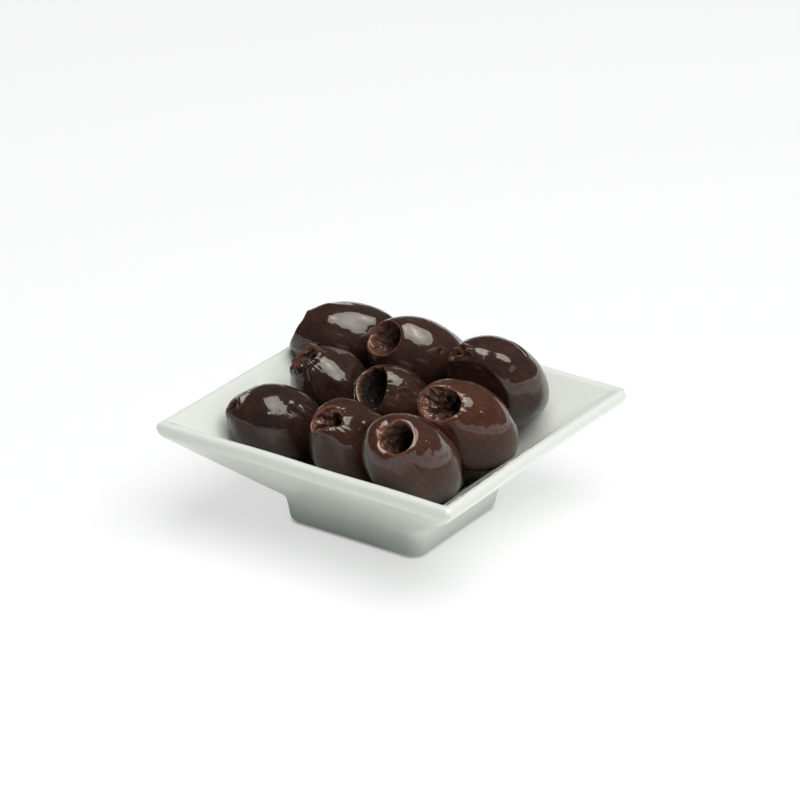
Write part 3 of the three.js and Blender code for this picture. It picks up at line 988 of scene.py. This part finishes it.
def olive_finish(settings):
    """Dark waxy skin, drifting to red and finely speckled along the olives' length, under a wet
    film that thins at a slant; in the mouths paler wet flesh, darkened by painted shade in the
    pit holes."""
    material, maker = new_material("olive_skin")
    place = maker.add("ShaderNodeTexCoord").outputs["Object"]
    clouds = {"Vector": place, "Tone size": 0.006}
    mottle = maker.add("ShaderNodeGroup", clouds, node_tree=mottle_group()).outputs
    flesh, cut, depth, warmth = (
        maker.add("ShaderNodeAttribute", attribute_name=mark).outputs["Fac"] for mark in MARKS
    )
    drift = maker.ramp(mottle["Tone"], 0.3, 0.7, -0.25, 0.25)
    red = maker.math("ADD", warmth, drift, use_clamp=True)
    skin = maker.tint(red, settings.skin_dark, settings.skin_warm)
    along = maker.scaled(GRAIN_WAY, maker.dot(place, GRAIN_WAY))
    drawn = maker.add(
        "ShaderNodeVectorMath", {0: along, 1: (-0.7, -0.7, -0.7), 2: place},
        operation="MULTIPLY_ADD",
    ).outputs[0]
    speckle = maker.noise(drawn, 1500.0, 2.0)
    skin = maker.scaled(skin, maker.ramp(speckle, 0.3, 0.7, 0.75, 1.3))
    meat = maker.tint(maker.noise(place, 700.0, 3.0), settings.flesh_dark, settings.flesh)
    # Painted shade: the flesh darkens toward the deep colour down the pit holes.
    meat = maker.tint(depth, meat, settings.pit_painted_shade)
    paint = maker.tint(flesh, skin, meat)
    paint = maker.tint(maker.product(cut, 0.7), paint, settings.cut)
    rough = maker.ramp(flesh, 0.0, 1.0, 0.32, 0.42)
    strength = maker.ramp(flesh, 0.0, 1.0, 0.06, 1.0)
    relief = maker.mix(flesh, speckle, maker.noise(place, 1500.0, 1.0))
    normal = maker.bump(relief, strength, 0.0003)
    facing = maker.add("ShaderNodeLayerWeight", {"Blend": 0.5}).outputs["Facing"]
    film = maker.ramp(facing, 0.68, 0.97, 1.0, 0.35)
    shader = maker.add(
        "ShaderNodeBsdfPrincipled",
        {"Base Color": paint, "Roughness": rough, "IOR": 1.4, "Specular IOR Level": 0.08,
         "Coat Weight": film, "Coat Roughness": 0.03, "Coat IOR": 1.45, "Normal": normal,
         "Coat Normal": normal},
    )
    maker.add("ShaderNodeOutputMaterial", {"Surface": shader.outputs[0]})
    return material


# ------------------------------------------------------------------ the stage


def camera_axes(stage):
    """The camera's right, up and back, for its way round, its height and its lean."""
    around, above, lean = np.radians([stage.azimuth, stage.elevation, stage.roll])
    back = np.array(
        [math.sin(around) * math.cos(above), -math.cos(around) * math.cos(above), math.sin(above)]
    )
    right = np.array([math.cos(around), math.sin(around), 0.0])
    up = np.cross(back, right)
    cosine, sine = math.cos(lean), math.sin(lean)
    return cosine * right + sine * up, cosine * up - sine * right, back


def make_camera(stage):
    """A long lens, turned a little up and right of the dish's middle, as it is framed."""
    right, up, back = camera_axes(stage)
    middle = np.array(CAMERA_MIDDLE)
    place = middle + back * stage.distance
    aim = middle + right * AIM_RIGHT + up * AIM_UP
    behind = unit(place - aim)
    side = unit(np.cross(up, behind))
    top = np.cross(behind, side)
    camera = bpy.data.cameras.new("camera")
    camera.lens = stage.lens
    camera.sensor_width = 36
    camera.clip_start, camera.clip_end = 0.05, 20
    holder = bpy.data.objects.new("camera", camera)
    bpy.context.scene.collection.objects.link(holder)
    turn = Matrix((side, top, behind)).transposed().to_4x4()
    holder.matrix_world = Matrix.Translation(Vector(place)) @ turn
    bpy.context.scene.camera = holder


def white_floor(stage):
    """White paint that also glows: toward the dish most from a patch at its +X side, and
    toward the camera evenly, but less where something all but touches it, a painted contact
    shadow."""
    material, maker = new_material("white_floor")
    path = maker.add("ShaderNodeLightPath").outputs
    seen, lighting = path["Is Camera Ray"], path["Is Diffuse Ray"]
    axes = maker.axes(maker.add("ShaderNodeTexCoord").outputs["Object"])
    grey = maker.mix(seen, stage.floor_white, stage.floor_white * 0.42)
    white = maker.scaled(maker.tint(lighting, (1.0, 1.0, 1.0), (0.94, 0.97, 0.95)), grey)
    near_side = maker.ramp(axes["X"], 0.008, 0.024, 0.0, 0.7)
    fading = maker.ramp(axes["X"], 0.045, 0.08, 1.0, 0.0)
    behind = maker.ramp(axes["Y"], -0.032, -0.01)
    bounce = maker.math(
        "MULTIPLY_ADD", maker.product(near_side, fading), behind, stage.floor_glow * 0.4
    )
    bounce = maker.mix(lighting, stage.floor_glow, bounce)
    # Painted contact shadow: the glow toward the camera dims where something all but touches the
    # floor.
    painted_contact_shadow = maker.add("ShaderNodeAmbientOcclusion", {"Distance": 0.0009}, samples=8)
    even = maker.ramp(painted_contact_shadow.outputs["AO"], 0.0, 1.0, 0.1, 0.57)
    paint = maker.add("ShaderNodeBsdfDiffuse", {"Color": white})
    glow = maker.add("ShaderNodeEmission", {"Strength": maker.mix(seen, bounce, even)})
    shader = maker.add("ShaderNodeAddShader", {0: paint.outputs[0], 1: glow.outputs[0]})
    maker.add("ShaderNodeOutputMaterial", {"Surface": shader.outputs[0]})
    return material


def make_floor(stage, radius=1.6, sides=96):
    """A flat white disc, far wider than the dish."""
    angle = np.linspace(0, 2 * math.pi, sides, endpoint=False)
    points = np.stack([np.cos(angle), np.sin(angle), 0 * angle], -1) * radius
    mesh = bpy.data.meshes.new("floor")
    mesh.from_pydata(points.tolist(), [], [list(range(sides))])
    mesh.materials.append(white_floor(stage))
    floor = bpy.data.objects.new("floor", mesh)
    bpy.context.scene.collection.objects.link(floor)


def area_light(name, way, distance, size, brightness, turn=0.0, shape="SQUARE", matt=False):
    """A flat light that faces the dish; its power is brightness times area times pi. It shows
    only in reflections or, when matt, only lights what is matt."""
    data = bpy.data.lights.new(name, "AREA")
    data.color = (1.0, 1.0, 1.0) if matt else REFLECTED_COLOUR
    data.shape = shape
    data.size = size
    area = size**2 * (math.pi / 4 if shape == "DISK" else 1)
    data.energy = brightness * area * math.pi
    light = bpy.data.objects.new(name, data)
    light.visible_diffuse, light.visible_glossy = matt, not matt
    bpy.context.scene.collection.objects.link(light)
    out = direction(way)
    facing = Vector(out).to_track_quat("Z", "Y").to_matrix().to_4x4()
    light.matrix_world = (
        Matrix.Translation(Vector(out * distance)) @ facing @ Matrix.Rotation(turn, 4, "Z")
    )


def make_softbox(stage):
    """A large square softbox over the dish, hotter in its middle."""
    power, turn = stage.softbox, math.radians(38)
    area_light("softbox", (-20, 72), 1.1, SOFTBOX_WIDTH, power * 0.72, turn, matt=True)
    area_light("softbox_face", (15, 66), 1.0, SOFTBOX_WIDTH, power * 0.78, turn)
    for count, (size, share) in enumerate(SOFTBOX_MIDDLE):
        name = f"softbox_middle_{count}"
        area_light(name, (8, 70), 0.99 - 0.005 * count, size, power * share, shape="DISK")


def make_room(stage):
    """A dim room with a pale horizon, whose soft light is stronger on one side."""
    world = bpy.data.worlds.new("room")
    bpy.context.scene.world = world
    world.use_nodes = True
    maker = NodeMaker(world.node_tree)
    way = maker.add("ShaderNodeTexCoord").outputs["Generated"]
    path = maker.add("ShaderNodeLightPath").outputs
    seen, lighting = path["Is Camera Ray"], path["Is Diffuse Ray"]
    horizon = maker.ramp(maker.axes(way)["Z"], 0.06, 0.08, 1.35, 0.07)
    fill = maker.math("MULTIPLY_ADD", maker.dot(way, stage.fill_side), stage.fill, stage.fill)
    strength = maker.mix(seen, maker.mix(lighting, horizon, fill), 1.1)
    hue = maker.tint(lighting, (1.0, 0.99, 0.95), (0.95, 1.0, 0.99))
    shader = maker.add("ShaderNodeBackground", {"Color": hue, "Strength": strength})
    maker.add("ShaderNodeOutputWorld", {"Surface": shader.outputs[0]})


# ------------------------------------------------------------------ operators


class MESH_OT_porcelain_dish(bpy.types.Operator):
    """Build the square porcelain dish"""

    bl_idname = "mesh.porcelain_dish"
    bl_label = "Porcelain Dish"

    def execute(self, context):
        make_dish(context.scene.olive_dish)
        return {"FINISHED"}


class MESH_OT_olive_heap(bpy.types.Operator):
    """Build the nine olives that show, the three under them and the heap's core"""

    bl_idname = "mesh.olive_heap"
    bl_label = "Olive Heap"

    def execute(self, context):
        dish, fruit = context.scene.olive_dish, context.scene.olive_fruit
        material = olive_finish(fruit)
        everyone = {**OLIVES, **LOWER_OLIVES}
        for count, (name, olive) in enumerate(everyone.items()):
            others = [other for key, other in everyone.items() if key != name]
            fineness = 1.0 if name in OLIVES else 0.5
            seed = 10 * count + 5
            make_olive(name, olive, others, dish, fruit, seed, fineness, material)
        make_core(dish, material)
        return {"FINISHED"}


class SCENE_OT_olive_stage(bpy.types.Operator):
    """Set up the white floor, the softbox, the room and the camera"""

    bl_idname = "scene.olive_stage"
    bl_label = "Studio Stage"

    def execute(self, context):
        stage = context.scene.olive_stage
        make_floor(stage)
        make_softbox(stage)
        make_room(stage)
        make_camera(stage)
        context.scene.view_settings.view_transform = "Standard"
        return {"FINISHED"}


class VIEW3D_PT_dish_of_olives(bpy.types.Panel):
    """The buttons that build the dish, the olives and the stage"""

    bl_label = "Dish of Olives"
    bl_idname = "VIEW3D_PT_dish_of_olives"
    bl_space_type = "VIEW_3D"
    bl_region_type = "UI"
    bl_category = "Olives"

    def draw(self, context):
        for operator in OPERATORS:
            self.layout.operator(operator.bl_idname)


SETTINGS = {
    "olive_dish": DishSettings,
    "olive_fruit": OliveSettings,
    "olive_stage": StageSettings,
}
OPERATORS = (MESH_OT_porcelain_dish, MESH_OT_olive_heap, SCENE_OT_olive_stage)


def register():
    for kind in (*SETTINGS.values(), *OPERATORS, VIEW3D_PT_dish_of_olives):
        bpy.utils.register_class(kind)
    for name, kind in SETTINGS.items():
        setattr(bpy.types.Scene, name, PointerProperty(type=kind))


def unregister():
    for name in SETTINGS:
        delattr(bpy.types.Scene, name)
    for kind in (VIEW3D_PT_dish_of_olives, *OPERATORS, *SETTINGS.values()):
        bpy.utils.unregister_class(kind)


def main():
    register()
    bpy.ops.mesh.porcelain_dish()
    bpy.ops.mesh.olive_heap()
    bpy.ops.scene.olive_stage()


if __name__ == "__main__":
    main()
